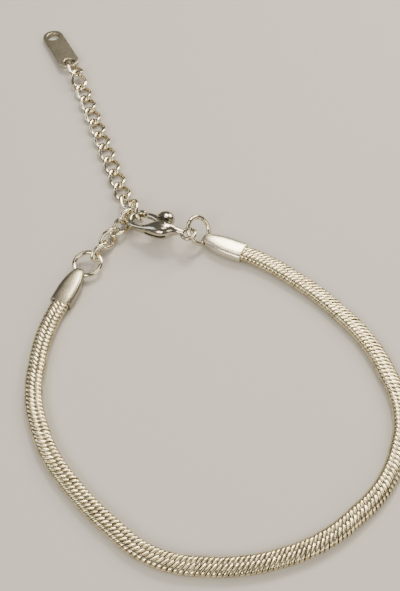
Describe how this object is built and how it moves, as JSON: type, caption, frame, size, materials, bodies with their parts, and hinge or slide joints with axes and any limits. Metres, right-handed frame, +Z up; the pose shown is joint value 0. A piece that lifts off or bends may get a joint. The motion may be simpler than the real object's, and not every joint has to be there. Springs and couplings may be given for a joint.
{
  "type": "chain anklet",
  "caption": "Steel anklet: a flat snake chain closed by a lobster clasp that hooks onto a curb-link extender with a plain oval tag",
  "frame": {"origin": "on the surface, in the middle of the space that the ankle takes", "axes": "+Z up from the surface, +Y from the front of the loop towards the clasp, the extender and the tag"},
  "size_m": [0.0726, 0.1318, 0.0055],
  "materials": {
    "chain_steel": "polished",
    "satin_steel": "satin",
    "polished_steel": "polished"
  },
  "bodies": {
    "anklet": {"snake_chain": "chain_steel", "end_cap_left": "satin_steel", "end_cap_right": "satin_steel", "tag": "satin_steel", "jump_ring_left": "polished_steel", "jump_ring_right": "polished_steel", "extender_link_01": "polished_steel", "extender_link_02": "polished_steel", "extender_link_03": "polished_steel", "extender_link_04": "polished_steel", "extender_link_05": "polished_steel", "extender_link_06": "polished_steel", "extender_link_07": "polished_steel", "extender_link_08": "polished_steel", "extender_link_09": "polished_steel", "extender_link_10": "polished_steel", "extender_link_11": "polished_steel", "extender_link_12": "polished_steel", "extender_link_13": "polished_steel", "extender_link_14": "polished_steel", "extender_link_15": "polished_steel", "extender_link_16": "polished_steel", "extender_link_17": "polished_steel", "clasp_body": "polished_steel", "clasp_pin": "polished_steel"},
    "lever": {"clasp_lever": "polished_steel"}
  },
  "joints": [
    {"name": "clasp_lever_hinge", "type": "hinge", "parent": "anklet", "child": "lever", "pos_m": [-0.00941, 0.02999, 0.00329], "axis": [-0.1144, 0.0552, 0.9919], "range_deg": [0, 22], "stiffness_Nm_per_rad": 0.002, "springref_deg": -5.73}
  ]
}
